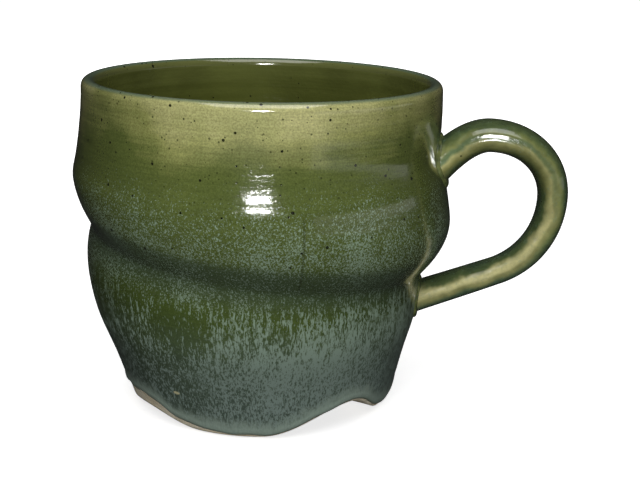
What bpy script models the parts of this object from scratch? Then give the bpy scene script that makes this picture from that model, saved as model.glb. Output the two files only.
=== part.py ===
"""A hand-thrown ceramic mug with one spiral groove pressed round its body and a pulled handle.

The mug is built as its real layers: the thrown clay body, the pulled clay handle, the two clay
collars that fasten it, and the glaze coats over them. Units are metres and +Z is up. The origin is
the centre of the flat underside, on the axis of the body, and the handle points along +X.
"""

import math

import bmesh
import bpy
import numpy as np

# Body, outside, over the glaze
HEIGHT = 0.0824
FOOT_RADIUS = 0.0355
RIM_RADIUS = 0.0450
BELLY_RADIUS = 0.0493
LIP_THICKNESS = 0.0040
WALL_THICKNESS = 0.0052
FLOOR_THICKNESS = 0.0090
FLOOR_CORNER_RADIUS = 0.0090

# Coats and clearances
GLAZE = 0.0005
GAP = 0.0003
LIP_BAND = 0.0050

# Spiral groove: it starts at the front of the mug, runs right, and sinks by PITCH in each turn
GROOVE_PITCH = 0.0303
GROOVE_DEPTH = 0.0056
GROOVE_BELOW_RIM = 0.0187
GROOVE_ABOVE = 0.0108
GROOVE_BELOW = 0.0370
GROOVE_CORNER = 0.0006
GROOVE_BEGINS = (-0.33, 0.48)
GROOVE_ENDS = (1.08, 1.42)
GROOVE_INSIDE_SHARE = 0.85

# Carved foot: each arch is (direction in degrees, height, half-width either side in degrees)
FLAT_RADIUS = 0.0210
FOOT_FADE_HEIGHT = 0.0200
FOOT_ARCHES = (
    (-43.0, 0.0068, 36.0, 25.0),
    (-130.0, 0.0022, 26.0, 26.0),
    (157.0, 0.0034, 28.0, 30.0),
    (89.0, 0.0040, 30.0, 32.0),
    (18.0, 0.0030, 30.0, 30.0),
)
BARE_CLAY_FRONT = 0.0007
BARE_CLAY_BACK = 0.0062
BARE_CLAY_CENTRE = 150.0
BARE_CLAY_SPREAD = 100.0

# Handle: an oval strap on a centreline from the upper root, over the top, down to the lower root
HANDLE_THICKNESS = 0.0086
HANDLE_WIDTH = 0.0134
UPPER_ROOT_BELOW_RIM = 0.0194
UPPER_LEAN = 45.0
HANDLE_TOP_BELOW_RIM = 0.0122
HANDLE_TOP_OUT = 0.0118
FINGER_ROOM = 0.0201
HANDLE_REACH_BELOW_RIM = 0.0274
HANDLE_BEND_OUT = 0.0190
HANDLE_BEND_RISE = 0.0079
LOWER_ROOT_HEIGHT = 0.0272
LOWER_LEAN = 23.0
ROOT_DEPTH = 0.0060

# Collars: clay worked round both roots of the handle
COLLAR_MARGIN = 0.0022
COLLAR_PROUD = 0.0024
COLLAR_DEPTH = 0.0030

# Fineness of the meshes
SEGMENTS = 40
ROW_STEP = 0.0043
LIP_STEPS = 6
CORNER_STEPS = 5
SECTION_POINTS = 14
HANDLE_STEPS = 7

# Outer profile of the body without its groove: height and radius, from the foot to the rim
PROFILE = (
    (0.0, FOOT_RADIUS),
    (0.0130, FOOT_RADIUS + 0.0041),
    (0.0260, BELLY_RADIUS - 0.0042),
    (0.0420, BELLY_RADIUS),
    (HEIGHT - 0.0204, BELLY_RADIUS - 0.0011),
    (HEIGHT - 0.0094, RIM_RADIUS + 0.0009),
    (HEIGHT, RIM_RADIUS),
)

# Share of the full section that the handle has at its five points, from the upper root on
HANDLE_TAPER = (1.15, 1.03, 0.93, 0.86, 0.98)
# Length of the curve's arms at those points, as a share of the way to the point before or after
ARM_BEFORE = (0.0, 0.33, 0.39, 0.34, 0.23)
ARM_AFTER = (0.25, 0.43, 0.40, 0.23, 0.0)
UPPER_ROOT_HEIGHT = HEIGHT - UPPER_ROOT_BELOW_RIM

MATERIALS = {
    "bare_clay": ((0.56, 0.46, 0.34), 0.85),
    "handle_clay": ((0.56, 0.46, 0.34), 0.85),
    "olive_glaze": ((0.17, 0.20, 0.07), 0.12),
    "liner_glaze": ((0.08, 0.10, 0.02), 0.10),
    "lip_glaze": ((0.33, 0.38, 0.22), 0.12),
    "handle_glaze": ((0.28, 0.30, 0.12), 0.12),
    "collar_glaze": ((0.12, 0.16, 0.08), 0.15),
}


def smooth_step(value):
    """0 below 0, 1 above 1 and a soft ramp between them."""
    t = np.clip(value, 0.0, 1.0)
    return t * t * (3.0 - 2.0 * t)


def profile_radius(z):
    """Outer radius without the groove: a smooth curve through the PROFILE stations."""
    heights, radii = np.array(PROFILE).T
    spans = np.diff(heights)
    slopes = np.diff(radii) / spans
    inner = (spans[1:] * slopes[:-1] + spans[:-1] * slopes[1:]) / (spans[1:] + spans[:-1])
    tangents = np.concatenate([slopes[:1], inner, slopes[-1:]])
    i = int(np.clip(np.searchsorted(heights, z) - 1, 0, len(spans) - 1))
    u = (z - heights[i]) / spans[i]
    start = (1.0 + 2.0 * u) * (1.0 - u) ** 2 * radii[i] + u * (1.0 - u) ** 2 * spans[i] * tangents[i]
    end = u * u * (3.0 - 2.0 * u) * radii[i + 1] - u * u * (1.0 - u) * spans[i] * tangents[i + 1]
    return start + end


def groove_depth(theta, z):
    """How far the spiral groove presses the surface in, at an angle and a height."""
    depth = 0.0
    for turn in range(-1, 3):
        s = theta / math.tau + turn
        strength = smooth_step((s - GROOVE_BEGINS[0]) / (GROOVE_BEGINS[1] - GROOVE_BEGINS[0]))
        strength *= 1.0 - smooth_step((s - GROOVE_ENDS[0]) / (GROOVE_ENDS[1] - GROOVE_ENDS[0]))
        offset = z - (HEIGHT - GROOVE_BELOW_RIM - GROOVE_PITCH * s)
        distance = math.hypot(offset, GROOVE_CORNER) - GROOVE_CORNER
        if offset > 0.0:
            shape = max(0.0, 1.0 - distance / GROOVE_ABOVE)
        else:
            shape = max(0.0, 1.0 - distance / GROOVE_BELOW) ** 2.2
        depth += GROOVE_DEPTH * strength * shape
    return depth


def arch_height(theta):
    """Height of the carved arches over the ground, along the edge of the foot."""
    height = 0.0
    for centre, top, left, right in FOOT_ARCHES:
        away = (math.degrees(theta) - centre + 180.0) % 360.0 - 180.0
        half_width = left if away < 0.0 else right
        if abs(away) < half_width:
            height = max(height, top * math.cos(math.pi / 2.0 * away / half_width) ** 2)
    return height


def bare_clay(theta):
    """Height of the unglazed band above the edge of the foot: narrow in front, wide behind."""
    away = (math.degrees(theta) - BARE_CLAY_CENTRE + 180.0) % 360.0 - 180.0
    wide = smooth_step(1.0 - abs(away) / BARE_CLAY_SPREAD)
    wave = 0.25 * math.sin(5.0 * theta) * wide
    return BARE_CLAY_FRONT + (BARE_CLAY_BACK - BARE_CLAY_FRONT) * (wide + wave)


def wall_thickness(z):
    """Thickness of the wall with both its coats: thin at the lip, full from the shoulder down."""
    full = smooth_step((HEIGHT - z) / 0.030)
    return LIP_THICKNESS + (WALL_THICKNESS - LIP_THICKNESS) * full


def wall_rows(low, high):
    """Heights of the rows of points between two heights, at the same places on every layer."""
    count = round((high - low) / ROW_STEP)
    return [low + (high - low) * i / count for i in range(count + 1)]


BAND_HEIGHT = HEIGHT - LIP_BAND
CORNER_HEIGHT = FLOOR_THICKNESS + FLOOR_CORNER_RADIUS
OUTER_ROWS = wall_rows(0.0, BAND_HEIGHT)
INNER_ROWS = [z for z in OUTER_ROWS if z > CORNER_HEIGHT + 0.5 * ROW_STEP]


def outer_line(inset, low=0.0, high=BAND_HEIGHT):
    """Outer side of the wall from high down to low, moved into the wall by inset."""
    rows = [z for z in OUTER_ROWS if low < z < high]
    return [(profile_radius(z) - inset, z) for z in [high] + rows[::-1] + [low]]


def lip_line(inset):
    """Round lip from the inside to the outside, moved into the wall by inset."""
    half = LIP_THICKNESS / 2.0
    middle = RIM_RADIUS - half
    points = []
    for i in range(LIP_STEPS + 1):
        angle = math.pi * (1.0 - i / LIP_STEPS)
        points.append((middle + (half - inset) * math.cos(angle),
                       HEIGHT - half + (half - inset) * math.sin(angle)))
    return points


def inner_line(inset, high=BAND_HEIGHT):
    """Inner side of the cup from the middle of its floor up to high, moved into the clay."""
    corner_x = profile_radius(CORNER_HEIGHT) - wall_thickness(CORNER_HEIGHT) - FLOOR_CORNER_RADIUS
    radius = FLOOR_CORNER_RADIUS + inset
    points = [(0.0, FLOOR_THICKNESS - inset), (corner_x / 2.0, FLOOR_THICKNESS - inset)]
    for i in range(CORNER_STEPS + 1):
        angle = math.pi / 2.0 * i / CORNER_STEPS
        points.append((corner_x + radius * math.sin(angle), CORNER_HEIGHT - radius * math.cos(angle)))
    rows = [z for z in INNER_ROWS if z < high] + [high]
    return points + [(profile_radius(z) - wall_thickness(z) + inset, z) for z in rows]


def shape_point(co):
    """Moves a point of the plain turned shape for the carved foot and for the spiral groove."""
    radius = math.hypot(co.x, co.y)
    if radius < 1e-6:
        return
    theta = math.atan2(co.y, co.x)
    inset = profile_radius(co.z) - radius
    reach = 1.0 - min(1.0, max(0.0, inset / (FOOT_RADIUS - FLAT_RADIUS))) ** 2
    near_foot = max(0.0, 1.0 - co.z / FOOT_FADE_HEIGHT)
    is_outside = inset < 0.5 * WALL_THICKNESS or co.z < 0.5 * FLOOR_THICKNESS
    lift = arch_height(theta) * reach * near_foot if is_outside else 0.0
    z = co.z + lift
    across = min(1.0, max(0.0, inset / wall_thickness(co.z)))
    follow = 1.0 + (GROOVE_INSIDE_SHARE - 1.0) * across
    radius = profile_radius(z) - inset - follow * groove_depth(theta, z)
    co.x = radius * math.cos(theta)
    co.y = radius * math.sin(theta)
    co.z = z


def link(obj, collection):
    """Leaves the object in one collection only."""
    for other in obj.users_collection:
        other.objects.unlink(obj)
    collection.objects.link(obj)


def evaluated_mesh(obj):
    """Mesh of an object with its modifiers applied."""
    graph = bpy.context.evaluated_depsgraph_get()
    graph.update()
    return bpy.data.meshes.new_from_object(obj.evaluated_get(graph))


def add_material(obj, name):
    """Gives the object its own material, in the colour and roughness of MATERIALS."""
    colour, roughness = MATERIALS[name]
    material = bpy.data.materials.new(obj.name)
    material.use_nodes = True
    shader = material.node_tree.nodes["Principled BSDF"]
    shader.inputs["Base Color"].default_value = (*colour, 1.0)
    shader.inputs["Roughness"].default_value = roughness
    shader.inputs["Metallic"].default_value = 0.0
    material.diffuse_color = (*colour, 1.0)
    obj.data.materials.clear()
    obj.data.materials.append(material)


def flatten_faces(obj):
    """Splits bent faces into triangles, so that a cut meets each one exactly."""
    if obj.type == "MESH" and "flat_faces" not in obj.modifiers:
        obj.modifiers.new("flat_faces", "TRIANGULATE")


def as_cutter(obj, collection):
    """Hides an object that only cuts others."""
    flatten_faces(obj)
    obj.hide_render = True
    obj.display_type = "WIRE"
    link(obj, collection)
    return obj


def cut(obj, *cutters):
    """Takes each cutter away from the object."""
    flatten_faces(obj)
    for cutter in cutters:
        modifier = obj.modifiers.new(f"cut_{cutter.name}", "BOOLEAN")
        modifier.operation = "DIFFERENCE"
        modifier.object = cutter


def spun_mesh(outline, collection, steps, closed=False):
    """Mesh of an outline, given as radii and heights, turned once round the Z axis."""
    mesh = bpy.data.meshes.new("outline")
    ends = len(outline) if closed else len(outline) - 1
    edges = [(i, (i + 1) % len(outline)) for i in range(ends)]
    mesh.from_pydata([(r, 0.0, z) for r, z in outline], edges, [])
    plain = bpy.data.objects.new("outline", mesh)
    collection.objects.link(plain)
    screw = plain.modifiers.new("turn", "SCREW")
    screw.steps = steps
    screw.render_steps = steps
    screw.use_merge_vertices = True
    screw.merge_threshold = 0.00001
    solid = evaluated_mesh(plain)
    bpy.data.objects.remove(plain)
    return solid


def turned(name, outline, collection, closed=False):
    """Turns an outline round the Z axis, then carves the foot and the groove into it."""
    solid = spun_mesh(outline, collection, SEGMENTS, closed)
    for vertex in solid.vertices:
        shape_point(vertex.co)
    obj = bpy.data.objects.new(name, solid)
    link(obj, collection)
    solid.shade_smooth()
    solid.set_sharp_from_angle(angle=math.radians(40.0))
    return obj


def cup_solids(parts, guides):
    """The thrown clay and its glaze outside, inside and on the lip, with cutters of its surface."""
    clay_inset = GLAZE + GAP
    ground = [(0.0, 0.0), (FLAT_RADIUS, 0.0)]
    steps = [FLAT_RADIUS + (FOOT_RADIUS - FLAT_RADIUS) * share for share in (0.3, 0.6, 0.85)]
    underside = ground + [(radius, 0.0) for radius in steps]
    inside = inner_line(clay_inset)
    clay = turned(
        "thrown_body",
        inside + lip_line(clay_inset) + outer_line(clay_inset) + underside[::-1],
        parts,
    )
    add_material(clay, "bare_clay")

    band_top = BAND_HEIGHT - GAP
    outer = turned(
        "outer_glaze",
        outer_line(0.0, high=band_top) + outer_line(GLAZE, high=band_top)[::-1],
        parts,
        closed=True,
    )
    cut(outer, bare_foot_cutter(guides))
    add_material(outer, "olive_glaze")

    liner = turned("liner_glaze", inner_line(0.0, band_top) + inner_line(GLAZE, band_top)[::-1], parts)
    add_material(liner, "liner_glaze")

    band = [(profile_radius(BAND_HEIGHT) - wall_thickness(BAND_HEIGHT), BAND_HEIGHT)]
    band += lip_line(0.0) + [(profile_radius(BAND_HEIGHT), BAND_HEIGHT)]
    under = [(profile_radius(BAND_HEIGHT) - GLAZE, BAND_HEIGHT)] + lip_line(GLAZE)[::-1]
    under += [(profile_radius(BAND_HEIGHT) - wall_thickness(BAND_HEIGHT) + GLAZE, BAND_HEIGHT)]
    lip = turned("lip_glaze", band + under, parts, closed=True)
    add_material(lip, "lip_glaze")

    surfaces = []
    for name, inset in (("clay_surface_cutter", GLAZE), ("glaze_surface_cutter", -GAP)):
        core = [(0.0, BAND_HEIGHT)] + outer_line(inset) + [(0.0, 0.0)]
        surfaces.append(as_cutter(turned(name, core, guides), guides))
    return outer, *surfaces


def bare_foot_cutter(guides):
    """A drum whose wavy top follows the lower edge of the outer glaze."""
    wide = 2.0 * FOOT_RADIUS
    outline = [(0.0, BARE_CLAY_FRONT), (0.5 * FOOT_RADIUS, BARE_CLAY_FRONT), (wide, BARE_CLAY_FRONT)]
    outline += [(wide, -BARE_CLAY_BACK), (0.0, -BARE_CLAY_BACK)]
    drum = bpy.data.objects.new("bare_foot_cutter", spun_mesh(outline, guides, 2 * SEGMENTS))
    for vertex in drum.data.vertices:
        if vertex.co.z > 0.0 and vertex.co.xy.length > 0.1 * FOOT_RADIUS:
            theta = math.atan2(vertex.co.y, vertex.co.x)
            vertex.co.z = arch_height(theta) + bare_clay(theta)
    return as_cutter(drum, guides)


def surface_radius(theta, z):
    """Radius of the glazed outside of the body, groove included."""
    return profile_radius(z) - groove_depth(theta, z)


def handle_points():
    """Centreline of the strap as places (x, z) and directions, from the upper root to the lower."""
    upper_lean = math.radians(UPPER_LEAN)
    lower_lean = math.radians(LOWER_LEAN)
    upper_surface = surface_radius(0.0, UPPER_ROOT_HEIGHT)
    lower_surface = surface_radius(0.0, LOWER_ROOT_HEIGHT)
    upper_root = (upper_surface - ROOT_DEPTH * math.cos(upper_lean),
                  UPPER_ROOT_HEIGHT - ROOT_DEPTH * math.sin(upper_lean))
    lower_root = (lower_surface - ROOT_DEPTH * math.cos(lower_lean),
                  LOWER_ROOT_HEIGHT - ROOT_DEPTH * math.sin(lower_lean))
    top = (upper_surface + HANDLE_TOP_OUT, HEIGHT - HANDLE_TOP_BELOW_RIM)
    reach = (BELLY_RADIUS + FINGER_ROOM + HANDLE_THICKNESS / 2.0 * HANDLE_TAPER[2],
             HEIGHT - HANDLE_REACH_BELOW_RIM)
    bend = (lower_surface + HANDLE_BEND_OUT, LOWER_ROOT_HEIGHT + HANDLE_BEND_RISE)
    bend_slope = math.atan2(bend[1] - lower_root[1], bend[0] - lower_root[0])
    places = (upper_root, top, reach, bend, lower_root)
    angles = (upper_lean, 0.0, -math.pi / 2.0, math.pi + bend_slope, math.pi + lower_lean)
    return places, angles


def oval_section(guides):
    """Outline of the handle's section: local X lies across the handle's plane, local Y in it."""
    curve = bpy.data.curves.new("handle_section", "CURVE")
    curve.dimensions = "2D"
    spline = curve.splines.new("POLY")
    spline.points.add(SECTION_POINTS - 1)
    for i, point in enumerate(spline.points):
        angle = math.tau * i / SECTION_POINTS
        across = HANDLE_WIDTH / 2.0 * math.cos(angle)
        through = HANDLE_THICKNESS / 2.0 * math.sin(angle)
        point.co = (across, through, 0.0, 1.0)
    spline.use_cyclic_u = True
    section = bpy.data.objects.new("handle_section", curve)
    return as_cutter(section, guides)


def handle_tube(name, section, filled, parts):
    """The strap's surface as a mesh: the section swept along the centreline."""
    curve = bpy.data.curves.new(name, "CURVE")
    curve.dimensions = "3D"
    curve.resolution_u = HANDLE_STEPS
    curve.bevel_mode = "OBJECT"
    curve.bevel_object = section
    curve.use_fill_caps = filled
    curve.twist_mode = "MINIMUM"
    places, angles = handle_points()
    spline = curve.splines.new("BEZIER")
    spline.bezier_points.add(len(places) - 1)
    for i, point in enumerate(spline.bezier_points):
        x, z = places[i]
        along = (math.cos(angles[i]), math.sin(angles[i]))
        before = ARM_BEFORE[i] * math.dist(places[i], places[max(i - 1, 0)])
        after = ARM_AFTER[i] * math.dist(places[i], places[min(i + 1, len(places) - 1)])
        point.handle_left_type = "FREE"
        point.handle_right_type = "FREE"
        point.co = (x, 0.0, z)
        point.handle_left = (x - before * along[0], 0.0, z - before * along[1])
        point.handle_right = (x + after * along[0], 0.0, z + after * along[1])
        point.radius = HANDLE_TAPER[i]
    swept = bpy.data.objects.new(f"{name}_sweep", curve)
    parts.objects.link(swept)
    mesh = evaluated_mesh(swept)
    bpy.data.objects.remove(swept)
    work = bmesh.new()
    work.from_mesh(mesh)
    bmesh.ops.remove_doubles(work, verts=work.verts, dist=0.000001)
    bmesh.ops.recalc_face_normals(work, faces=work.faces)
    work.to_mesh(mesh)
    work.free()
    mesh.shade_smooth()
    mesh.set_sharp_from_angle(angle=math.radians(50.0))
    tube = bpy.data.objects.new(name, mesh)
    link(tube, parts)
    return tube


def shrink(obj, distance):
    """Moves the object's whole surface inwards along its normals."""
    displace = obj.modifiers.new("inset", "DISPLACE")
    displace.direction = "NORMAL"
    displace.mid_level = 0.0
    displace.strength = -distance


def collar(name, root_height, lean, share, grow, collection):
    """An oval cushion of clay draped on the body round one root, larger by grow all over."""
    half_width = HANDLE_WIDTH / 2.0 * share + COLLAR_MARGIN + grow
    half_height = HANDLE_THICKNESS / 2.0 * share / math.cos(math.radians(lean)) + COLLAR_MARGIN + grow
    bpy.ops.mesh.primitive_uv_sphere_add(segments=20, ring_count=10, radius=1.0)
    cushion = bpy.context.object
    cushion.name = name
    for vertex in cushion.data.vertices:
        across, up, out = vertex.co
        z = root_height + up * half_height
        y = across * half_width
        theta = math.asin(y / BELLY_RADIUS)
        height = out * (COLLAR_PROUD + grow if out > 0.0 else COLLAR_DEPTH)
        radius = surface_radius(theta, z) + height
        vertex.co = (radius * math.cos(theta), radius * math.sin(theta), z)
    cushion.data.shade_smooth()
    link(cushion, collection)
    return cushion


def handle_solids(parts, guides, outer, clay_surface, glaze_surface):
    """The clay strap, its coat and the two collars, each trimmed to what it is stuck on."""
    section = oval_section(guides)
    strap = handle_tube("handle", section, True, parts)
    shrink(strap, GLAZE + GAP)
    cut(strap, clay_surface)
    add_material(strap, "handle_clay")

    hole = handle_tube("strap_hole_cutter", section, True, guides)
    shrink(hole, GLAZE)
    as_cutter(hole, guides)
    around = handle_tube("handle_clearance_cutter", section, True, guides)
    shrink(around, -GAP)
    as_cutter(around, guides)
    cut(outer, around)

    coat = handle_tube("handle_glaze", section, False, parts)
    skin = coat.modifiers.new("coat", "SOLIDIFY")
    skin.thickness = GLAZE
    skin.offset = -1.0
    cut(coat, glaze_surface)
    add_material(coat, "handle_glaze")

    roots = (
        ("upper_joint", UPPER_ROOT_HEIGHT, UPPER_LEAN, HANDLE_TAPER[0]),
        ("lower_joint", LOWER_ROOT_HEIGHT, LOWER_LEAN, HANDLE_TAPER[-1]),
    )
    for name, height, lean, share in roots:
        joint = collar(name, height, lean, share, 0.0, parts)
        cut(joint, clay_surface, hole)
        add_material(joint, "collar_glaze")
        clearance = as_cutter(collar(f"{name}_cutter", height, lean, share, GAP, guides), guides)
        cut(outer, clearance)
        cut(coat, clearance)


def main():
    for obj in list(bpy.data.objects):
        bpy.data.objects.remove(obj)
    parts = bpy.data.collections.new("ceramic_mug")
    guides = bpy.data.collections.new("cutters_and_guides")
    bpy.context.scene.collection.children.link(parts)
    bpy.context.scene.collection.children.link(guides)
    handle_solids(parts, guides, *cup_solids(parts, guides))


main()
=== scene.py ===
import math

import bpy
import numpy as np
from mathutils import Matrix, Vector


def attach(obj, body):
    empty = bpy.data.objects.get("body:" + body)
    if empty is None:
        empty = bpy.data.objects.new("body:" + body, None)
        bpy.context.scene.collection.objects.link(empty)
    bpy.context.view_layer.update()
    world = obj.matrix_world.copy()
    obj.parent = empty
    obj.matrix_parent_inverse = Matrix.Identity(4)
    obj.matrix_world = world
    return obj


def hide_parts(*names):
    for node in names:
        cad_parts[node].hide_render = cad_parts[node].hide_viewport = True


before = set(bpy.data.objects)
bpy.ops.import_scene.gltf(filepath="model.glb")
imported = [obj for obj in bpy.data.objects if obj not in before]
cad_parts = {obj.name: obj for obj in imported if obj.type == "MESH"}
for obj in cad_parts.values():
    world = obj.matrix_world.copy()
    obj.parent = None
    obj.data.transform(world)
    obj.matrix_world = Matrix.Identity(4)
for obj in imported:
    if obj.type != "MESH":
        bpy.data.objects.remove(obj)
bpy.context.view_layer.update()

# Sizes of the mug in metres, as in its CAD part; +X is towards the handle
HEIGHT = 0.0824
FOOT_RADIUS = 0.0355
RIM_RADIUS = 0.0450
BELLY_RADIUS = 0.0493
LIP_THICKNESS = 0.0040
WALL_THICKNESS = 0.0052
FLOOR_THICKNESS = 0.0090
FLOOR_CORNER_RADIUS = 0.0090
GLAZE = 0.0005
FLAT_RADIUS = 0.0210

# Spiral groove pressed round the body. GROOVE_ABOVE and the corner are a little wider than in the
# CAD part, which lets the bulge curve in more softly towards the groove
GROOVE_PITCH = 0.0303
GROOVE_DEPTH = 0.0056
GROOVE_BELOW_RIM = 0.0187
GROOVE_ABOVE = 0.0148
GROOVE_BELOW = 0.0370
GROOVE_ABOVE_POWER = 1.8
GROOVE_BELOW_POWER = 2.2
GROOVE_CORNER = 0.0008
GROOVE_INSIDE_CORNER = 0.0030
GROOVE_BEGINS = (-0.33, 0.48)
GROOVE_ENDS = (1.08, 1.42)
GROOVE_INSIDE_SHARE = 0.85

# Carved foot: direction in degrees, height, and half-width on either side in degrees
FOOT_ARCHES = (
    (-43.0, 0.0068, 36.0, 25.0),
    (-130.0, 0.0022, 26.0, 26.0),
    (157.0, 0.0034, 28.0, 30.0),
    (89.0, 0.0040, 30.0, 32.0),
    (18.0, 0.0030, 30.0, 30.0),
)
BARE_CLAY_FRONT = 0.0010
BARE_CLAY_BACK = 0.0062
BARE_CLAY_CENTRE = 176.0
BARE_CLAY_SPREAD = 108.0

# Handle: where its centreline's five points lie, and its oval section
HANDLE_THICKNESS = 0.0086
HANDLE_WIDTH = 0.0134
UPPER_ROOT_HEIGHT = HEIGHT - 0.0194
UPPER_LEAN = 45.0
HANDLE_TOP_BELOW_RIM = 0.0122
HANDLE_TOP_OUT = 0.0118
FINGER_ROOM = 0.0201
HANDLE_REACH_BELOW_RIM = 0.0274
HANDLE_BEND_OUT = 0.0190
HANDLE_BEND_RISE = 0.0079
LOWER_ROOT_HEIGHT = 0.0272
LOWER_LEAN = 23.0
ROOT_DEPTH = 0.0060
HANDLE_TAPER = (1.15, 1.03, 0.93, 0.86, 0.98)
ARM_BEFORE = (0.0, 0.33, 0.39, 0.34, 0.23)
ARM_AFTER = (0.25, 0.43, 0.40, 0.23, 0.0)

# Outer profile of the body without its groove: height and radius
PROFILE = (
    (0.0, FOOT_RADIUS),
    (0.0130, FOOT_RADIUS + 0.0041),
    (0.0260, BELLY_RADIUS - 0.0042),
    (0.0420, BELLY_RADIUS),
    (0.0550, BELLY_RADIUS - 0.00045),
    (0.0585, BELLY_RADIUS - 0.00085),
    (0.0645, BELLY_RADIUS - 0.00215),
    (HEIGHT - 0.0094, RIM_RADIUS + 0.00085),
    (HEIGHT, RIM_RADIUS),
)

# Fineness of the visible meshes, and how far they stay inside the CAD surfaces
COLUMNS = 320
ROW_STEP = 0.0008
STRAP_COLUMNS = 72
STRAP_ROWS = 150
STRAP_STEPS = 120
SKIN = 0.0003
LINER_TOP = HEIGHT - 0.0020

# Marks of the hand
RING_PITCH = 0.0031
THROWING_RINGS = 0.000012
LINER_RINGS = 0.00008
WAIST_HEIGHT = 0.0608
WAIST_STEP = 0.0001
FLOOR_SPIRAL = 0.00025
FLOOR_SPIRAL_PITCH = 0.0065
EDGE_BEAD = 0.00025
CLAY_INSET = 0.00045
CLAY_ROUNDING = 0.0007
CLAY_UNDER_GLAZE = 0.0010
UPPER_WELT = 0.0010
LOWER_WELT = 0.0008

# Camera: metres and degrees
CAMERA_DISTANCE = 0.2450
CAMERA_HEIGHT = 0.1132
CAMERA_TURN = 11.0
CAMERA_AIM = 7.47
CAMERA_TILT = 17.23
CAMERA_ROLL = 1.35
CAMERA_LENS = 54.4


# Shape of the body


def smooth_step(value):
    """0 below 0, 1 above 1 and a soft ramp between them."""
    t = np.clip(value, 0.0, 1.0)
    return t * t * (3.0 - 2.0 * t)


def angles_round(count):
    """Evenly spaced angles once round, as one row."""
    return np.linspace(0.0, math.tau, count, endpoint=False)[None, :]


def degrees_from(theta, centre):
    """Signed angle from a direction, in degrees."""
    return (np.degrees(theta) - centre + 180.0) % 360.0 - 180.0


def profile_radius(z):
    """Outer radius without the groove: a smooth curve through the PROFILE stations."""
    z = np.asarray(z, float)
    heights, radii = np.array(PROFILE).T
    spans = np.diff(heights)
    slopes = np.diff(radii) / spans
    inner = (spans[1:] * slopes[:-1] + spans[:-1] * slopes[1:]) / (spans[1:] + spans[:-1])
    tangents = np.concatenate([slopes[:1], inner, slopes[-1:]])
    i = np.clip(np.searchsorted(heights, z) - 1, 0, len(spans) - 1)
    u = (z - heights[i]) / spans[i]
    start = (1.0 + 2.0 * u) * (1.0 - u) ** 2 * radii[i] + u * (1.0 - u) ** 2 * spans[i] * tangents[i]
    end = u * u * (3.0 - 2.0 * u) * radii[i + 1] - u * u * (1.0 - u) * spans[i] * tangents[i + 1]
    return start + end


def groove_depth(theta, z, corner=GROOVE_CORNER):
    """How far the spiral groove presses the surface in, at angles and heights."""
    depth = 0.0
    for turn in range(-1, 3):
        s = theta / math.tau + turn
        begun = smooth_step((s - GROOVE_BEGINS[0]) / (GROOVE_BEGINS[1] - GROOVE_BEGINS[0]))
        ended = smooth_step((s - GROOVE_ENDS[0]) / (GROOVE_ENDS[1] - GROOVE_ENDS[0]))
        strength = begun * (1.0 - ended)
        offset = z - (HEIGHT - GROOVE_BELOW_RIM - GROOVE_PITCH * s)
        distance = np.hypot(offset, corner) - corner
        above = np.clip(1.0 - distance / GROOVE_ABOVE, 0.0, 1.0) ** GROOVE_ABOVE_POWER
        below = np.clip(1.0 - distance / GROOVE_BELOW, 0.0, 1.0) ** GROOVE_BELOW_POWER
        depth = depth + GROOVE_DEPTH * strength * np.where(offset > 0.0, above, below)
    return depth


def arch_height(theta):
    """Height of the carved arches over the ground, along the edge of the foot."""
    height = np.zeros_like(theta)
    for centre, top, left, right in FOOT_ARCHES:
        away = degrees_from(theta, centre)
        half_width = np.where(away < 0.0, left, right)
        arch = top * np.cos(math.pi / 2.0 * np.clip(away / half_width, -1.0, 1.0)) ** 2
        height = np.maximum(height, arch)
    return height


def bare_clay(theta):
    """Height of the unglazed band above the edge of the foot: narrow in front, wide behind."""
    away = degrees_from(theta, BARE_CLAY_CENTRE)
    wide = smooth_step(1.0 - np.abs(away) / BARE_CLAY_SPREAD)
    wave = 0.25 * np.sin(5.0 * theta) * wide
    drips = 0.00022 * np.sin(17.0 * theta + 1.0) + 0.00016 * np.sin(29.0 * theta)
    return BARE_CLAY_FRONT + (BARE_CLAY_BACK - BARE_CLAY_FRONT) * (wide + wave) + drips * (0.6 + wide)


def wall_thickness(z):
    """Thickness of the wall with both its coats: thin at the lip, full from the shoulder down."""
    full = smooth_step((HEIGHT - z) / 0.030)
    return LIP_THICKNESS + (WALL_THICKNESS - LIP_THICKNESS) * full


def rings(theta, z, size):
    """Low uneven ridges left by the thrower's fingers, climbing slowly round the pot."""
    turns = (z + RING_PITCH * theta / math.tau) / RING_PITCH
    wide_turns = (z + 2.0 * RING_PITCH * theta / math.tau) / (2.0 * RING_PITCH)
    near = np.sin(math.tau * turns + 0.5 * np.sin(3.0 * theta))
    far = np.sin(math.tau * wide_turns + 0.8 * np.sin(2.0 * theta + 1.0))
    return size * (0.55 * near + 0.45 * far)


def outside_radius(theta, z, inset=SKIN):
    """Radius of the glazed outside, kept just inside the CAD surface."""
    fade = smooth_step((HEIGHT - 0.001 - z) / 0.004)
    waist = WAIST_STEP * np.tanh((z - WAIST_HEIGHT) / 0.0012)
    ripples = fade * rings(theta, z, THROWING_RINGS)
    return profile_radius(z) - inset - groove_depth(theta, z) + ripples - waist * fade


def inside_radius(theta, z, inset=0.0):
    """Radius of the glazed inside wall; inset moves it out, into the clay."""
    radius = profile_radius(z) - wall_thickness(z) + inset
    groove = GROOVE_INSIDE_SHARE * groove_depth(theta, z, GROOVE_INSIDE_CORNER)
    fade = smooth_step((HEIGHT - 0.003 - z) / 0.006)
    return radius - groove + fade * rings(theta, z, LINER_RINGS)


# Meshes


def link(obj):
    """Put a new object in the scene."""
    bpy.context.scene.collection.objects.link(obj)
    return obj


def ring_points(theta, radius, z):
    """Points of rows and columns from their angles, radii and heights."""
    theta, radius, z = np.broadcast_arrays(theta, radius, z)
    return np.stack([radius * np.cos(theta), radius * np.sin(theta), z], axis=-1)


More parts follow.
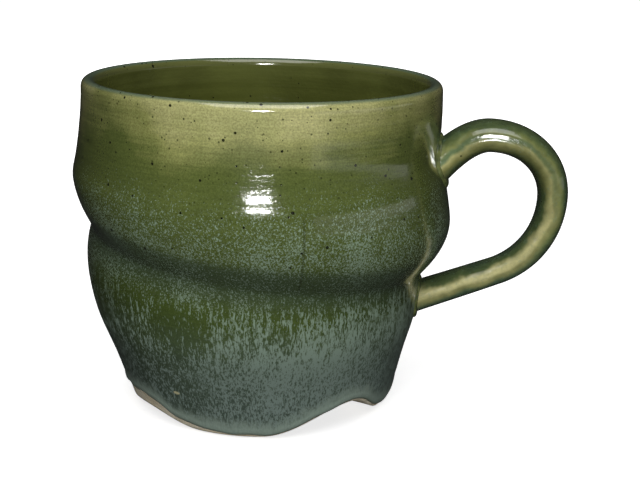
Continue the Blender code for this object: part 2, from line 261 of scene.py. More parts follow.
def grid_object(name, places, fields=None, loop=False, first=None, last=None):
    """A closed mesh from rows of points. The rows join up in a loop, or end in middle points."""
    rows, columns = places.shape[:2]
    index = np.arange(rows * columns).reshape(rows, columns)
    if loop:
        index = np.concatenate([index, index[:1]])
    after = np.roll(index, -1, axis=1)
    quads = np.stack([index[:-1], after[:-1], after[1:], index[1:]], axis=-1)
    faces = quads.reshape(-1, 4).tolist()
    points = places.reshape(-1, 3).tolist()
    if first is not None:
        faces += [(len(points), b, a) for a, b in zip(index[0].tolist(), after[0].tolist())]
        points.append(first)
    if last is not None:
        faces += [(len(points), a, b) for a, b in zip(index[-1].tolist(), after[-1].tolist())]
        points.append(last)
    mesh = bpy.data.meshes.new(name)
    mesh.from_pydata(points, [], faces)
    mesh.shade_smooth()
    mesh.set_sharp_from_angle(angle=math.radians(60.0))
    for field, values in (fields or {}).items():
        layer = mesh.attributes.new(field, "FLOAT", "POINT")
        flat = np.zeros(len(points), np.float32)
        flat[:rows * columns] = np.asarray(values, np.float32).reshape(-1)
        layer.data.foreach_set("value", flat)
    return link(bpy.data.objects.new(name, mesh))


def lip_points(theta, inset, steps):
    """The round lip from the outside over the top to the inside."""
    half = LIP_THICKNESS / 2.0
    angles = np.linspace(0.0, math.pi, steps)[:, None]
    top = HEIGHT - half
    outer = outside_radius(theta, top)
    inner = inside_radius(theta, top)
    middle = (outer + inner) / 2.0
    reach = (outer - inner) / 2.0 - inset
    return ring_points(theta, middle + reach * np.cos(angles), top + (half - inset) * np.sin(angles))


def glaze_edge(theta):
    """Height of the lower edge of the outer glaze."""
    return arch_height(theta) + bare_clay(theta)


def outer_coat():
    """The outer glaze with the glaze on the lip: a thin closed shell with a rolled lower edge."""
    theta = angles_round(COLUMNS)
    low = glaze_edge(theta)
    top = HEIGHT - LIP_THICKNESS / 2.0
    share = np.linspace(0.0, 1.0, int(top / ROW_STEP))[:, None]
    z = low + (top - low) * share
    bead = EDGE_BEAD * np.exp(-((z - low - 0.0008) / 0.0007) ** 2)
    outside = ring_points(theta, outside_radius(theta, z) + bead, z)
    edge_out = outside_radius(theta, low)
    roll = [ring_points(theta, edge_out - inward, low - down)
            for inward, down in ((0.00045, 0.00012), (0.00020, 0.00016))]
    lip = lip_points(theta, 0.0, 19)[1:]
    under_lip = lip_points(theta, GLAZE, 9)[::-1]
    back_share = np.linspace(1.0, 0.0, 40)[1:, None]
    z_back = low + (top - low) * back_share
    back = ring_points(theta, outside_radius(theta, z_back) - GLAZE, z_back)
    places = np.concatenate([*roll, outside, lip, under_lip, back])

    # Fields for the glaze: the shade above the groove, the distance to the edge, the inner lip
    x, y, height = np.moveaxis(places, -1, 0)
    groove = groove_depth(np.arctan2(y, x), height - 0.0030, 0.0020) / GROOVE_DEPTH
    lip_middle = outside_radius(theta, top) - LIP_THICKNESS / 2.0
    inner = smooth_step(0.5 + (lip_middle - np.hypot(x, y)) / 0.0016) * (height > LINER_TOP - 0.001)
    fields = {"groove": groove, "over_edge": height - low, "inner": inner}
    return grid_object("outer_coat", places, fields, loop=True)


def liner_coat():
    """The inside glaze down the wall, round the corner and over the floor, as a closed shell."""
    theta = angles_round(COLUMNS)
    corner_height = FLOOR_THICKNESS + FLOOR_CORNER_RADIUS
    levels = np.arange(LINER_TOP, corner_height, -0.0010)[:, None]
    angles = np.linspace(0.0, math.pi / 2.0, 14)[:, None]
    shrink = np.linspace(1.0, 0.03, 26)[1:, None]
    layers = []
    for inset in (0.0, GLAZE):
        wall = ring_points(theta, inside_radius(theta, levels, inset), levels)
        foot = inside_radius(theta, corner_height) - FLOOR_CORNER_RADIUS
        reach = FLOOR_CORNER_RADIUS + inset
        corner = ring_points(theta, foot + reach * np.cos(angles),
                             corner_height - reach * np.sin(angles))
        spiral = np.sin(math.tau * foot * shrink / FLOOR_SPIRAL_PITCH - theta)
        spiral = FLOOR_SPIRAL * spiral * smooth_step(shrink * 3.0)
        spiral = spiral * smooth_step((1.0 - shrink) * 8.0)
        floor = ring_points(theta, foot * shrink, FLOOR_THICKNESS - inset + spiral)
        layers.append(np.concatenate([wall, corner, floor]))
    coat = grid_object("liner_coat", np.concatenate([layers[0], layers[1][::-1]]), loop=True)
    coat.data.flip_normals()
    return coat


def clay_body():
    """The thrown clay: it shows below the glaze edge and over the carved underside."""
    theta = angles_round(COLUMNS)
    inset = GLAZE + SKIN
    top = HEIGHT - LIP_THICKNESS / 2.0
    arch = arch_height(theta)
    glazed_from = glaze_edge(theta) + CLAY_UNDER_GLAZE

    # Inside, from the middle of the floor to the lip
    corner_height = FLOOR_THICKNESS + FLOOR_CORNER_RADIUS
    foot = inside_radius(theta, corner_height) - FLOOR_CORNER_RADIUS
    shrink = np.array([0.05, 0.2, 0.4, 0.6, 0.8, 1.0])[:, None]
    floor = ring_points(theta, foot * shrink, FLOOR_THICKNESS - inset)
    angles = np.linspace(math.pi / 2.0, 0.0, 8)[1:, None]
    reach = FLOOR_CORNER_RADIUS + inset
    corner = ring_points(theta, foot + reach * np.cos(angles), corner_height - reach * np.sin(angles))
    levels = np.linspace(corner_height + 0.002, top, 30)[:, None]
    inside = ring_points(theta, inside_radius(theta, levels, inset), levels)
    lip = lip_points(theta, inset, 9)[::-1][1:-1]

    # Outside, under the glaze and then bare, and round the edge of the foot
    z_hidden = glazed_from + (top - glazed_from) * np.linspace(1.0, 0.0, 30)[:, None]
    hidden = ring_points(theta, outside_radius(theta, z_hidden) - inset, z_hidden)
    z_low = arch + CLAY_ROUNDING
    z_bare = z_low + (glazed_from - z_low) * np.linspace(1.0, 0.0, 9)[1:, None]
    bare = ring_points(theta, outside_radius(theta, z_bare) - CLAY_INSET, z_bare)
    edge = outside_radius(theta, arch) - CLAY_INSET
    turn = np.linspace(0.0, math.pi / 2.0, 6)[1:, None]
    edge_round = ring_points(theta, edge - CLAY_ROUNDING * (1.0 - np.cos(turn)),
                             arch + CLAY_ROUNDING * (1.0 - np.sin(turn)))

    # Underside: the arches fade out on the way to the flat middle
    wide = edge - CLAY_ROUNDING
    radii = wide - (wide - FLAT_RADIUS) * np.linspace(0.0, 1.0, 26)[1:, None]
    inward = (edge - radii) / (FOOT_RADIUS - FLAT_RADIUS)
    under = ring_points(theta, radii, arch * np.clip(1.0 - inward ** 2, 0.0, 1.0))
    flat = ring_points(theta, FLAT_RADIUS * np.array([0.8, 0.5, 0.2])[:, None], 0.0)

    places = np.concatenate([floor, corner, inside, lip, hidden, bare, edge_round, under, flat])
    body = grid_object("clay_body", places, first=(0.0, 0.0, FLOOR_THICKNESS - inset),
                       last=(0.0, 0.0, 0.0))
    body.data.flip_normals()
    return body


def handle_line(steps):
    """Centreline of the handle with directions and taper, from the upper root to the lower."""
    upper, lower = math.radians(UPPER_LEAN), math.radians(LOWER_LEAN)
    handle_side = np.array(0.0)
    high, low = (float(profile_radius(z) - groove_depth(handle_side, z))
                 for z in (UPPER_ROOT_HEIGHT, LOWER_ROOT_HEIGHT))
    places = np.array([
        (high - ROOT_DEPTH * math.cos(upper), UPPER_ROOT_HEIGHT - ROOT_DEPTH * math.sin(upper)),
        (high + HANDLE_TOP_OUT, HEIGHT - HANDLE_TOP_BELOW_RIM),
        (BELLY_RADIUS + FINGER_ROOM + HANDLE_THICKNESS / 2.0 * HANDLE_TAPER[2],
         HEIGHT - HANDLE_REACH_BELOW_RIM),
        (low + HANDLE_BEND_OUT, LOWER_ROOT_HEIGHT + HANDLE_BEND_RISE),
        (low - ROOT_DEPTH * math.cos(lower), LOWER_ROOT_HEIGHT - ROOT_DEPTH * math.sin(lower)),
    ])
    bend = places[3] - places[4]
    angles = (upper, 0.0, -math.pi / 2.0, math.pi + math.atan2(bend[1], bend[0]), math.pi + lower)
    ways = np.array([(math.cos(a), math.sin(a)) for a in angles])
    line, taper = [], []
    for i in range(4):
        length = math.dist(places[i], places[i + 1])
        arm_out = places[i] + ARM_AFTER[i] * length * ways[i]
        arm_in = places[i + 1] - ARM_BEFORE[i + 1] * length * ways[i + 1]
        t = np.linspace(0.0, 1.0, steps, endpoint=(i == 3))[:, None]
        line.append((1 - t) ** 3 * places[i] + 3 * t * (1 - t) ** 2 * arm_out
                    + 3 * t ** 2 * (1 - t) * arm_in + t ** 3 * places[i + 1])
        taper.append(HANDLE_TAPER[i] + (HANDLE_TAPER[i + 1] - HANDLE_TAPER[i]) * t[:, 0])
    line, taper = np.concatenate(line), np.concatenate(taper)
    way = np.gradient(line, axis=0)
    way /= np.linalg.norm(way, axis=1)[:, None]
    return line, way, taper


def strap_surface(turn, inset):
    """Dense rows of points on the strap, with one soft channel along its outer side."""
    line, way, taper = handle_line(STRAP_STEPS)
    along = np.linspace(0.0, 1.0, len(line))[:, None]
    out = np.stack([-way[:, 1], way[:, 0]], axis=1)
    flutes = 1.0 - 0.045 * np.exp(-((np.sin(turn) - 0.15) / 0.22) ** 2)
    wobble = 1.0 + 0.012 * np.sin(7.0 * along + 2.0 * turn) + 0.008 * np.sin(19.0 * along - turn)
    size = taper[:, None] * flutes * wobble
    across = (HANDLE_WIDTH / 2.0 * size - inset) * np.cos(turn)
    through = (HANDLE_THICKNESS / 2.0 * size - inset) * np.sin(turn)
    x = line[:, :1] + out[:, :1] * through
    z = line[:, 1:] + out[:, 1:] * through
    return np.stack([x, across, z], axis=-1)


def root_crossings(points):
    """Where each lengthwise line of the strap leaves the body, as a row number for each end."""
    radius = np.hypot(points[..., 0], points[..., 1])
    theta = np.arctan2(points[..., 1], points[..., 0])
    clear = radius - outside_radius(theta, points[..., 2])
    ends = []
    for values in (clear, clear[::-1]):
        first = np.argmax(values > 0.0, axis=0)
        columns = np.arange(values.shape[1])
        after, before = values[first, columns], values[np.maximum(first - 1, 0), columns]
        ends.append(first - np.where(first > 0, after / np.maximum(after - before, 1e-9), 0.0))
    return ends[0], len(points) - 1 - ends[1]


def sample_rows(points, rows):
    """Points between the dense rows, at fractional row numbers for each column."""
    low = np.clip(np.floor(rows).astype(int), 0, len(points) - 2)
    share = (rows - low)[..., None]
    columns = np.arange(points.shape[1])[None, :]
    return points[low, columns] * (1.0 - share) + points[low + 1, columns] * share


def handle_coat():
    """The glaze on the pulled strap: a thin closed tube that ends just inside the body."""
    turn = angles_round(STRAP_COLUMNS)
    outer = strap_surface(turn, SKIN)
    inner = strap_surface(turn, SKIN + GLAZE)
    begins, finishes = root_crossings(outer)
    buried = 5.0
    share = np.linspace(0.0, 1.0, STRAP_ROWS)[:, None]
    rows = (begins - buried) + (finishes - begins + 2.0 * buried) * share
    rows = np.clip(rows, 0.0, len(outer) - 1.0)
    places = np.concatenate([sample_rows(outer, rows), sample_rows(inner, rows)[::-1]])
    along = rows / (len(outer) - 1.0)
    fields = {"along": np.concatenate([along, along[::-1]]),
              "height": np.broadcast_to(np.sin(turn), places.shape[:2])}
    coat = grid_object("handle_coat", places, fields, loop=True)
    coat.data.flip_normals()
    return coat


def welt(name, upper_end, thickness):
    """A coil of slip pressed into the corner between the strap and the body, as a closed ring."""
    turn = angles_round(120)
    surface = strap_surface(turn, SKIN)
    begins, finishes = root_crossings(surface)
    loop = sample_rows(surface, (begins if upper_end else finishes)[None, :])[0]
    loop = sum(np.roll(loop, shift, axis=0) for shift in (-2, -1, 0, 1, 2)) / 5.0
    tangent = np.roll(loop, -1, axis=0) - np.roll(loop, 1, axis=0)
    tangent /= np.linalg.norm(tangent, axis=1)[:, None]
    radial = loop * (1.0, 1.0, 0.0)
    radial /= np.linalg.norm(radial, axis=1)[:, None]
    side = np.cross(tangent, radial)
    side /= np.linalg.norm(side, axis=1)[:, None]
    side *= np.sign(np.sum(side * (loop - loop.mean(axis=0)), axis=1))[:, None]
    lumpy = 1.0 + 0.10 * np.sin(3.0 * turn[0] + 0.7) + 0.05 * np.sin(8.0 * turn[0])
    around = angles_round(20)[0][:, None, None]
    high = thickness * lumpy[:, None]
    wide = 1.35 * high
    middle = loop + 0.35 * thickness * side - 0.25 * thickness * radial
    places = middle + np.cos(around) * wide * side + np.sin(around) * high * radial
    return grid_object(name, places, loop=True)


# Materials

EVEN = (1.0, 1.0, 1.0)


def srgb(red, green, blue):
    """Linear colour from 0-255 display values."""
    channels = [c / 255.0 for c in (red, green, blue)]
    return tuple(c / 12.92 if c <= 0.04045 else ((c + 0.055) / 1.055) ** 2.4 for c in channels)


class Shader:
    """A Principled material with short ways to add procedural nodes."""

    def __init__(self, name):
        self.material = bpy.data.materials.new(name)
        self.material.use_nodes = True
        self.tree = self.material.node_tree
        self.surface = self.tree.nodes["Principled BSDF"]
        texture = self.tree.nodes.new("ShaderNodeTexCoord")
        self.place = self.vector("SCALE", texture.outputs["Object"], 1000.0)
        split = self.tree.nodes.new("ShaderNodeSeparateXYZ")
        self.tree.links.new(self.place, split.inputs[0])
        self.x, self.y, self.z = split.outputs

    def feed(self, socket, value):
        """Link a socket to a node's output, or set its value."""
        if isinstance(value, bpy.types.NodeSocket):
            self.tree.links.new(value, socket)
        elif hasattr(value, "__len__") and len(value) == 3 and len(socket.default_value) == 4:
            socket.default_value = (*value, 1.0)
        else:
            socket.default_value = value

    def vector(self, operation, a, b):
        node = self.tree.nodes.new("ShaderNodeVectorMath")
        node.operation = operation
        self.feed(node.inputs[0], a)
        self.feed(node.inputs["Scale" if operation == "SCALE" else 1], b)
        return node.outputs[0]

    def length(self, a):
        node = self.tree.nodes.new("ShaderNodeVectorMath")
        node.operation = "LENGTH"
        self.feed(node.inputs[0], a)
        return node.outputs["Value"]

    def math(self, operation, a, b=0.0):
        node = self.tree.nodes.new("ShaderNodeMath")
        node.operation = operation
        self.feed(node.inputs[0], a)
        self.feed(node.inputs[1], b)
        return node.outputs[0]

    def times(self, a, b):
        return self.math("MULTIPLY", a, b)

    def plus(self, a, b):
        return self.math("ADD", a, b)

    def minus(self, a, b):
        return self.math("SUBTRACT", a, b)

    def below_rim(self):
        """Depth below the rim in mm."""
        return self.minus(HEIGHT * 1000.0, self.z)

    def distance(self, point, stretch):
        """Distance from a point in mm, with each axis stretched."""
        apart = self.vector("SUBTRACT", self.place, point)
        return self.length(self.vector("MULTIPLY", apart, stretch))

    def noise(self, stretch, scale, detail=2.0, roughness=0.5, distortion=0.0, shift=0.0):
        """Noise in mm, stretched by a factor for each axis; about 0 to 1 with its middle at 0.5."""
        place = self.vector("MULTIPLY", self.place, stretch)
        if shift:
            place = self.vector("ADD", place, (shift, shift, shift))
        node = self.tree.nodes.new("ShaderNodeTexNoise")
        self.feed(node.inputs["Vector"], place)
        node.inputs["Scale"].default_value = scale
        node.inputs["Detail"].default_value = detail
        node.inputs["Roughness"].default_value = roughness
        node.inputs["Distortion"].default_value = distortion
        return node.outputs["Fac"]

    def ramp(self, value, low, high, start=0.0, end=1.0, kind="SMOOTHSTEP"):
        """value from low..high to start..end, held at both ends."""
        node = self.tree.nodes.new("ShaderNodeMapRange")
        node.interpolation_type = kind
        for socket, item in zip(node.inputs[:5], (value, low, high, start, end)):
            self.feed(socket, item)
        return node.outputs[0]

    def colours(self, value, stops):
        node = self.tree.nodes.new("ShaderNodeValToRGB")
        self.feed(node.inputs[0], value)
        points = node.color_ramp.elements
        while len(points) < len(stops):
            points.new(0.5)
        for point, (place, colour) in zip(points, stops):
            point.position = place
            point.color = (*colour, 1.0)
        return node.outputs[0]

    def mix(self, factor, a, b, blend="MIX"):
        node = self.tree.nodes.new("ShaderNodeMix")
        node.data_type = "RGBA"
        node.blend_type = blend
        self.feed(node.inputs[0], factor)
        self.feed(node.inputs[6], a)
        self.feed(node.inputs[7], b)
        return node.outputs[2]

    def paint(self, colour, mask, strength, coat):
        """colour under a coat, which is as thick as the mask times a strength."""
        return self.mix(self.times(mask, strength), colour, coat)

    def shade(self, colour, amount):
        """colour made darker or lighter by a factor."""
        return self.mix(1.0, colour, self.vector("SCALE", EVEN, amount), "MULTIPLY")

    def field(self, name):
        """A value stored on the mesh's points."""
        node = self.tree.nodes.new("ShaderNodeAttribute")
        node.attribute_name = name
        return node.outputs["Fac"]

    def specks(self, scale, radius, share):
        """1 inside round spots of about radius mm; only a share of the cells holds one."""
        wander = self.noise(EVEN, 1.3, 2.0)
        node = self.tree.nodes.new("ShaderNodeTexVoronoi")
        self.feed(node.inputs["Vector"], self.place)
        node.inputs["Scale"].default_value = scale
        cell = self.tree.nodes.new("ShaderNodeSeparateColor")
        self.tree.links.new(node.outputs["Color"], cell.inputs[0])
        size = self.times(self.plus(cell.outputs[1], 0.25), radius * scale)
        size = self.times(size, self.plus(wander, 0.5))
        size = self.times(size, self.math("LESS_THAN", cell.outputs[0], share))
        return self.ramp(self.minus(size, node.outputs["Distance"]), 0.0, 0.05 * scale)

    def bump(self, height, strength, distance=0.0005):
        node = self.tree.nodes.new("ShaderNodeBump")
        node.inputs["Strength"].default_value = strength
        node.inputs["Distance"].default_value = distance
        self.feed(node.inputs["Height"], height)
        return node.outputs[0]

    def set(self, **values):
        """Feed the surface's sockets, named with underscores, and give the material."""
        for name, value in values.items():
            self.feed(self.surface.inputs[name.replace("_", " ")], value)
        return self.material


def olive_ground(s, drop, lines, fine_lines, groove):
    """The clear olive glaze: pale where it is thin at the lip, and darker as it thickens below. Painted
    shade darkens the sides turned from the key light and the groove, where the glaze also pools dark,
    and a painted sheen lightens the front under the lip.
    """
    broad = s.noise((1.0, 1.0, 0.7), 0.06, 3.0)
    uneven = s.plus(s.times(broad, 26.0), s.times(lines, 10.0))
    level = s.minus(s.plus(drop, uneven), 18.0)
    clear = s.colours(s.math("DIVIDE", level, HEIGHT * 1000.0), [
        (0.00, srgb(178, 177, 118)),
        (0.07, srgb(146, 150, 88)),
        (0.15, srgb(96, 107, 54)),
        (0.26, srgb(88, 100, 50)),
        (0.42, srgb(82, 95, 45)),
        (0.60, srgb(76, 92, 42)),
        (0.80, srgb(64, 80, 54)),
        (1.00, srgb(62, 76, 66)),
    ])
    # Painted shade: the sides turned away from the key light are darker
    facing_key_light = s.plus(s.times(s.x, 0.0035), s.times(s.y, -0.0200))
    clear = s.shade(clear, s.ramp(facing_key_light, 0.42, 1.0, 0.72, 1.0))
    # Painted sheen: a pale patch on the front under the lip, where it faces the key light
    painted_front_sheen = s.times(s.ramp(facing_key_light, 0.78, 1.0), s.ramp(drop, 16.0, 3.0))
    clear = s.paint(clear, painted_front_sheen, 0.55, srgb(214, 210, 152))
    clear = s.shade(clear, s.ramp(fine_lines, 0.35, 0.65, 0.91, 1.06))
    grain = s.noise(EVEN, 2.6, 3.0, 0.6)
    clear = s.shade(clear, s.ramp(grain, 0.3, 0.7, 0.78, 1.22))
    # Darker in the groove: partly pooled glaze, partly painted shade
    return s.paint(clear, s.ramp(groove, 0.55, 1.0), 0.30, srgb(56, 70, 52))


def crystals(s, drop, lowness, streaks, crease_pool_and_shade):
    """Where blue-grey crystals lie: fine flecks on the bulge, streaks and rivers below the groove."""
    flecks = s.noise((1.0, 1.0, 0.8), 2.9, 2.5, 0.65, 0.8)
    rivers = s.noise((1.0, 1.0, 0.07), 0.75, 3.0, 0.6)
    river_zone = s.times(lowness, s.ramp(drop, 72.0, 58.0, 0.25, 1.0))
    streaky = s.times(lowness, 0.72)
    mixed = s.plus(s.times(flecks, s.minus(1.0, streaky)), s.times(streaks, streaky))
    mixed = s.plus(mixed, s.times(s.minus(rivers, 0.5), s.times(river_zone, 0.40)))
    patchy = s.noise((1.0, 1.0, 0.5), 0.09, 2.0, shift=31.0)
    cover = s.ramp(drop, 6.0, 36.0, 0.0, 0.56)
    cover = s.plus(cover, s.ramp(drop, 44.0, 60.0, 0.0, 0.15))
    cover = s.plus(cover, s.times(s.minus(patchy, 0.5), 0.45))
    bare_patch = s.distance((-10.0, -43.0, 30.0), (0.085, 0.05, 0.13))
    cover = s.minus(cover, s.times(s.ramp(bare_patch, 1.0, 0.3), 0.20))
    to_right = s.ramp(s.x, -36.0, 24.0, -0.17, 0.0)
    cover = s.plus(cover, s.times(lowness, to_right))
    cover = s.minus(cover, s.times(crease_pool_and_shade, 0.06))
    threshold = s.minus(0.74, s.times(cover, 0.42))
    crystal = s.ramp(s.minus(mixed, threshold), -0.03, 0.09)
    return s.times(crystal, s.ramp(drop, 12.0, 22.0))


def lower_roll(s, colour):
    """The sage roll that the glaze ends in, with a thin dark line at its very edge."""
    over_edge = s.times(s.field("over_edge"), 1000.0)
    ragged = s.noise((1.0, 1.0, 0.3), 0.7, 2.0, shift=3.0)
    roll_line = s.plus(over_edge, s.times(s.minus(ragged, 0.5), 5.0))
    colour = s.paint(colour, s.ramp(roll_line, 5.2, 1.6), 0.8, srgb(156, 174, 160))
    return s.paint(colour, s.ramp(over_edge, 0.45, 0.0), 0.6, srgb(96, 104, 70))


def small_accidents(s, colour):
    """A dark run of glaze from one pinhole on the front, and one painted glint in a pinhole near the
    foot.
    """
    beside = s.math("ABSOLUTE", s.plus(s.times(s.y, 0.365), s.times(s.x, 0.931)))
    run = s.times(s.ramp(beside, 0.42, 0.10), s.math("LESS_THAN", s.y, 0.0))
    run = s.times(run, s.times(s.ramp(s.z, 38.0, 43.0), s.ramp(s.z, 60.0, 57.0)))
    colour = s.paint(colour, run, 0.45, srgb(40, 46, 22))
    # Painted glint: a pale dot in a pinhole near the foot
    pinhole_glint = s.distance((-13.9, -36.2, 11.0), (1.0, 1.0, 2.2))
    return s.mix(s.ramp(pinhole_glint, 1.05, 0.75), colour, srgb(214, 208, 164))


def iron_specks(s, drop):
    """Where iron specks lie: thickest near the lip, and none on the lower body."""
    upper = s.ramp(drop, 46.0, 30.0)
    big = s.times(s.specks(0.16, 0.66, 0.16), upper)
    small = s.times(s.specks(0.42, 0.36, 0.52), upper)
    dust = s.times(s.specks(1.0, 0.22, 0.55), s.ramp(drop, 34.0, 12.0, 0.0, 0.75))
    return s.math("MAXIMUM", s.math("MAXIMUM", big, small), dust)


def outer_glaze():
    """Olive glaze, pale at the lip, that runs down into dense blue-grey crystals and a sage roll."""
    s = Shader("outer_glaze_runny")
    drop = s.below_rim()
    lowness = s.ramp(drop, 40.0, 50.0)
    lines = s.noise((0.03, 0.03, 1.0), 0.55, 4.0, 0.65)
    fine_lines = s.noise((0.05, 0.05, 1.0), 1.9, 3.0, 0.6, shift=7.0)
    streaks = s.noise((1.0, 1.0, 0.26), 2.5, 2.5, 0.6, 0.5)
    groove = s.field("groove")
    crease_pool_and_shade = s.ramp(groove, 0.62, 0.92)

    clear = olive_ground(s, drop, lines, fine_lines, groove)
    crystal = crystals(s, drop, lowness, streaks, crease_pool_and_shade)
    crystal_colour = s.mix(s.ramp(drop, 44.0, 74.0), srgb(150, 172, 150), srgb(152, 171, 162))
    colour = s.paint(clear, crystal, 0.85, crystal_colour)
    # Darker in the crease: partly pooled glaze, partly painted shade
    colour = s.paint(colour, crease_pool_and_shade, 0.50, srgb(58, 72, 58))
    haze = s.times(s.ramp(drop, 46.0, 66.0), s.ramp(s.x, -40.0, 0.0, 0.06, 0.26))
    colour = s.mix(haze, colour, srgb(120, 137, 127))
    colour = lower_roll(s, colour)
    colour = s.paint(colour, s.field("inner"), 0.9, srgb(98, 104, 56))
    colour = small_accidents(s, colour)

    # Blue-green line where the glaze lies thick along the top of the lip
    colour = s.paint(colour, s.ramp(s.z, 81.7, 82.3), 0.7, srgb(96, 120, 104))
    speck = iron_specks(s, drop)
    colour = s.paint(colour, speck, 0.93, srgb(26, 28, 14))

    hills = s.plus(s.times(lines, 0.5), s.times(fine_lines, 0.18))
    hills = s.plus(hills, s.times(s.times(streaks, lowness), 0.16))
    hills = s.plus(hills, s.times(crystal, 0.05))
    hills = s.minus(hills, s.times(speck, 0.12))
    peel = s.noise(EVEN, 0.9, 3.0, 0.6, shift=21.0)
    hills = s.plus(hills, s.times(peel, 0.7))
    rough = s.plus(s.ramp(drop, 24.0, 60.0, 0.10, 0.30), s.times(crystal, 0.12))
    return s.set(Base_Color=colour, Roughness=rough, Normal=s.bump(hills, 0.16),
                 Specular_IOR_Level=0.5, Coat_Weight=s.ramp(drop, 40.0, 60.0, 0.9, 0.35),
                 Coat_Roughness=0.09, IOR=1.5)


def liner_glaze():
    """Dark olive glaze with finger rings, paler towards the lip and darker further down."""
    s = Shader("liner_glaze_ringed")
    drop = s.below_rim()
    lines = s.noise((0.03, 0.03, 1.0), 0.6, 4.0, 0.6)
    broad = s.noise(EVEN, 0.07, 2.0, shift=12.0)
    level = s.plus(drop, s.times(s.minus(lines, 0.5), 14.0))
    colour = s.colours(s.math("DIVIDE", level, 80.0), [
        (0.00, srgb(104, 110, 58)),
        (0.10, srgb(88, 94, 44)),
        (0.22, srgb(76, 82, 34)),
        (0.45, srgb(62, 68, 24)),
        (1.00, srgb(48, 54, 20)),
    ])
    colour = s.shade(colour, s.ramp(broad, 0.3, 0.7, 0.85, 1.15))
    speck = s.math("MAXIMUM", s.specks(0.18, 0.5, 0.22), s.specks(0.5, 0.24, 0.22))
    colour = s.paint(colour, speck, 0.85, srgb(30, 30, 12))
    normal = s.bump(s.plus(lines, s.noise(EVEN, 0.8)), 0.25)
    return s.set(Base_Color=colour, Roughness=s.ramp(lines, 0.3, 0.7, 0.10, 0.18), Normal=normal,
                 Coat_Weight=0.8, Coat_Roughness=0.04, IOR=1.5)


def handle_glaze():
    """Olive glaze that breaks pale on the ridges and pools blue-green in the channels; its outer and
    inner faces are darker, partly pooled glaze and partly painted shade.
    """
    s = Shader("handle_glaze_fluted")
    height = s.field("height")
    wander = s.noise(EVEN, 0.16, 3.0)
    level = s.plus(height, s.times(s.minus(wander, 0.5), 0.9))
    # Around the strap: pale on its sides, darker blue-green on its outer and inner faces, partly pooled
    # glaze and partly painted shade
    colour = s.colours(s.ramp(level, -1.1, 1.1, 0.0, 1.0, "LINEAR"), [
        (0.00, srgb(60, 78, 56)),
        (0.18, srgb(84, 98, 60)),
        (0.32, srgb(150, 150, 92)),
        (0.46, srgb(184, 180, 122)),
        (0.60, srgb(164, 162, 104)),
        (0.74, srgb(124, 134, 80)),
        (0.86, srgb(78, 98, 66)),
        (1.00, srgb(54, 74, 56)),
    ])
    along = s.field("along")
    in_channel = s.ramp(s.math("ABSOLUTE", s.minus(level, 0.16)), 0.30, 0.04)
    channel = s.times(in_channel, s.ramp(along, 0.62, 0.30, 0.15, 0.85))
    colour = s.mix(channel, colour, srgb(92, 118, 84))
    lower_edge = s.times(s.ramp(level, 0.10, 0.55), s.ramp(along, 0.52, 0.72, 0.0, 0.75))
    colour = s.mix(lower_edge, colour, srgb(84, 110, 88))
    shaded = s.times(s.ramp(along, 0.10, 0.22), s.ramp(along, 0.56, 0.40))
    colour = s.paint(colour, shaded, 0.45, srgb(84, 92, 52))
    on_crown = s.ramp(s.math("ABSOLUTE", s.plus(level, 0.34)), 0.42, 0.05)
    crown = s.times(on_crown, s.ramp(along, 0.45, 0.62, 0.0, 0.75))
    colour = s.mix(crown, colour, srgb(214, 208, 152))
    flow = s.noise(EVEN, 0.5, 4.0, 0.6)
    colour = s.shade(colour, s.ramp(flow, 0.3, 0.7, 0.85, 1.12))
    mist = s.ramp(s.noise(EVEN, 0.9, 4.0, 0.7, shift=5.0), 0.54, 0.70)
    colour = s.paint(colour, mist, 0.30, srgb(112, 138, 116))
    speck = s.specks(0.30, 0.26, 0.22)
    colour = s.paint(colour, speck, 0.8, srgb(40, 40, 18))
    normal = s.bump(s.plus(flow, wander), 0.25)
    return s.set(Base_Color=colour, Roughness=s.ramp(flow, 0.3, 0.7, 0.10, 0.20), Normal=normal,
                 Coat_Weight=0.9, Coat_Roughness=0.04, IOR=1.5)


def joint_glaze():
    """Dark pooled glaze on the welts, paler in uneven patches."""
    s = Shader("joint_glaze_pooled")
    wander = s.noise(EVEN, 0.35, 3.0)
    colour = s.mix(s.ramp(wander, 0.35, 0.65), srgb(58, 72, 46), srgb(118, 126, 74))
    speck = s.specks(0.4, 0.22, 0.2)
    colour = s.paint(colour, speck, 0.8, srgb(34, 34, 16))
    return s.set(Base_Color=colour, Roughness=s.ramp(wander, 0.3, 0.7, 0.10, 0.18),
                 Normal=s.bump(wander, 0.3, 0.0006), Coat_Weight=0.9, Coat_Roughness=0.04, IOR=1.5)


def bare_clay_finish(name):
    """Dry cream stoneware with fine grog and a few iron dots."""
    s = Shader(name)
    broad = s.noise(EVEN, 0.12, 3.0)
    grain = s.noise(EVEN, 3.5, 4.0, 0.7)
    scratches = s.noise((0.15, 0.15, 1.0), 1.4, 3.0, 0.6)
    colour = s.mix(s.ramp(broad, 0.3, 0.7), srgb(255, 246, 220), srgb(246, 232, 198))
    colour = s.shade(colour, s.ramp(s.plus(grain, scratches), 0.75, 1.25, 0.84, 1.10))
    speck = s.math("MAXIMUM", s.specks(0.35, 0.28, 0.25), s.specks(0.9, 0.14, 0.3))
    colour = s.paint(colour, speck, 0.75, srgb(84, 60, 38))
    hills = s.plus(grain, s.times(scratches, 0.6))
    return s.set(Base_Color=colour, Roughness=s.ramp(grain, 0.3, 0.7, 0.75, 0.92),
                 Normal=s.bump(hills, 0.5), Specular_IOR_Level=0.3)


# Stage, light and camera


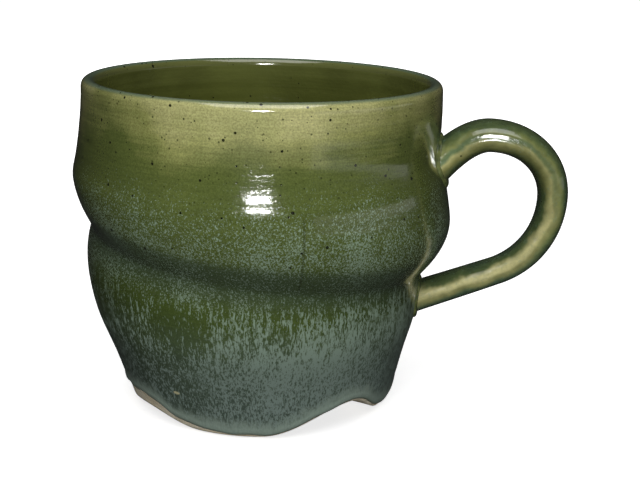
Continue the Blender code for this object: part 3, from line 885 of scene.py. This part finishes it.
def build_stage():
    """A pale floor that glows to white away from the mug, so that only the shadow at its foot shows."""
    bpy.ops.mesh.primitive_plane_add(size=12.0)
    floor = bpy.context.object
    floor.name = "floor"
    floor.location.z = -0.00005
    shader = Shader("floor")
    glow = shader.ramp(shader.length(shader.place), 150.0, 500.0, 0.64, 1.0)
    shader.set(Base_Color=(0.90, 0.90, 0.895), Roughness=0.95, Specular_IOR_Level=0.1,
               Emission_Color=(1.0, 1.0, 1.0), Emission_Strength=glow)
    floor.data.materials.append(shader.material)
    floor.visible_glossy = False
    floor.visible_diffuse = False


def add_area_light(name, azimuth, elevation, distance, size, power):
    """A softbox in a direction seen from the mug, aimed at its middle."""
    turn, rise = math.radians(azimuth), math.radians(elevation)
    aim = Vector((0.0, 0.0, 0.045))
    way = Vector((math.cos(turn) * math.cos(rise), math.sin(turn) * math.cos(rise), math.sin(rise)))
    light = bpy.data.lights.new(name, "AREA")
    light.shape = "RECTANGLE"
    light.size, light.size_y = size
    light.energy = power
    lamp = link(bpy.data.objects.new(name, light))
    lamp.location = aim + way * distance
    lamp.rotation_euler = way.to_track_quat("Z", "Y").to_euler()
    return lamp


def build_lights():
    """Soft key, top, side and back lights in a nearly dark room that looks white to the camera."""
    world = bpy.data.worlds.new("studio")
    world.use_nodes = True
    tree = world.node_tree
    background = tree.nodes["Background"]
    path = tree.nodes.new("ShaderNodeLightPath")
    level = tree.nodes.new("ShaderNodeMapRange")
    background.inputs["Color"].default_value = (1.0, 1.0, 1.0, 1.0)
    level.inputs["To Min"].default_value = 0.011
    level.inputs["To Max"].default_value = 1.0
    tree.links.new(path.outputs["Is Camera Ray"], level.inputs["Value"])
    tree.links.new(level.outputs[0], background.inputs["Strength"])
    bpy.context.scene.world = world
    add_area_light("key_softbox", -80.5, 16.5, 1.0, (0.19, 0.055), 4.2)
    add_area_light("top_softbox", -80.0, 70.0, 1.6, (1.4, 1.4), 16.0)
    add_area_light("side_panel", -14.0, 2.0, 0.9, (1.3, 0.16), 0.28)
    fill = add_area_light("back_fill", 106.0, 24.0, 1.2, (1.2, 0.9), 7.0)
    card = add_area_light("bounce_card", -81.0, -4.0, 0.45, (0.6, 0.4), 2.2)
    card.rotation_euler = (0.0, math.radians(180.0), 0.0)
    for lamp in (fill, card):
        lamp.visible_glossy = False


def build_camera():
    """A camera in front of the mug, a little to the handle's side, looking down."""
    camera = link(bpy.data.objects.new("camera", bpy.data.cameras.new("camera")))
    camera.data.lens = CAMERA_LENS
    turn = math.radians(CAMERA_TURN)
    place = Matrix.Translation((CAMERA_DISTANCE * math.sin(turn),
                                -CAMERA_DISTANCE * math.cos(turn), CAMERA_HEIGHT))
    camera.matrix_world = (place
                           @ Matrix.Rotation(math.radians(CAMERA_AIM), 4, "Z")
                           @ Matrix.Rotation(math.radians(90.0 - CAMERA_TILT), 4, "X")
                           @ Matrix.Rotation(math.radians(CAMERA_ROLL), 4, "Z"))
    bpy.context.scene.camera = camera
    bpy.context.scene.view_settings.view_transform = "Standard"


joint_finish = joint_glaze()
pieces = (
    (outer_coat(), outer_glaze(), ("outer_glaze", "lip_glaze"), "outer_glaze"),
    (liner_coat(), liner_glaze(), ("liner_glaze",), "liner_glaze"),
    (clay_body(), bare_clay_finish("bare_stoneware"), ("thrown_body",), "bare_clay"),
    (handle_coat(), handle_glaze(), ("handle_glaze",), "handle_glaze"),
    (welt("upper_welt", True, UPPER_WELT), joint_finish, ("upper_joint",), "joint_glaze"),
    (welt("lower_welt", False, LOWER_WELT), joint_finish, ("lower_joint",), "joint_glaze"),
)
for piece, finish, nodes, slot in pieces:
    piece.data.materials.append(finish)
    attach(piece, "root")
    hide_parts(*nodes)

# The strap's clay core keeps its CAD mesh; its coat hides it
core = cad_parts["handle"]
core.data.materials[0] = bare_clay_finish("handle_stoneware")
build_stage()
build_lights()
build_camera()
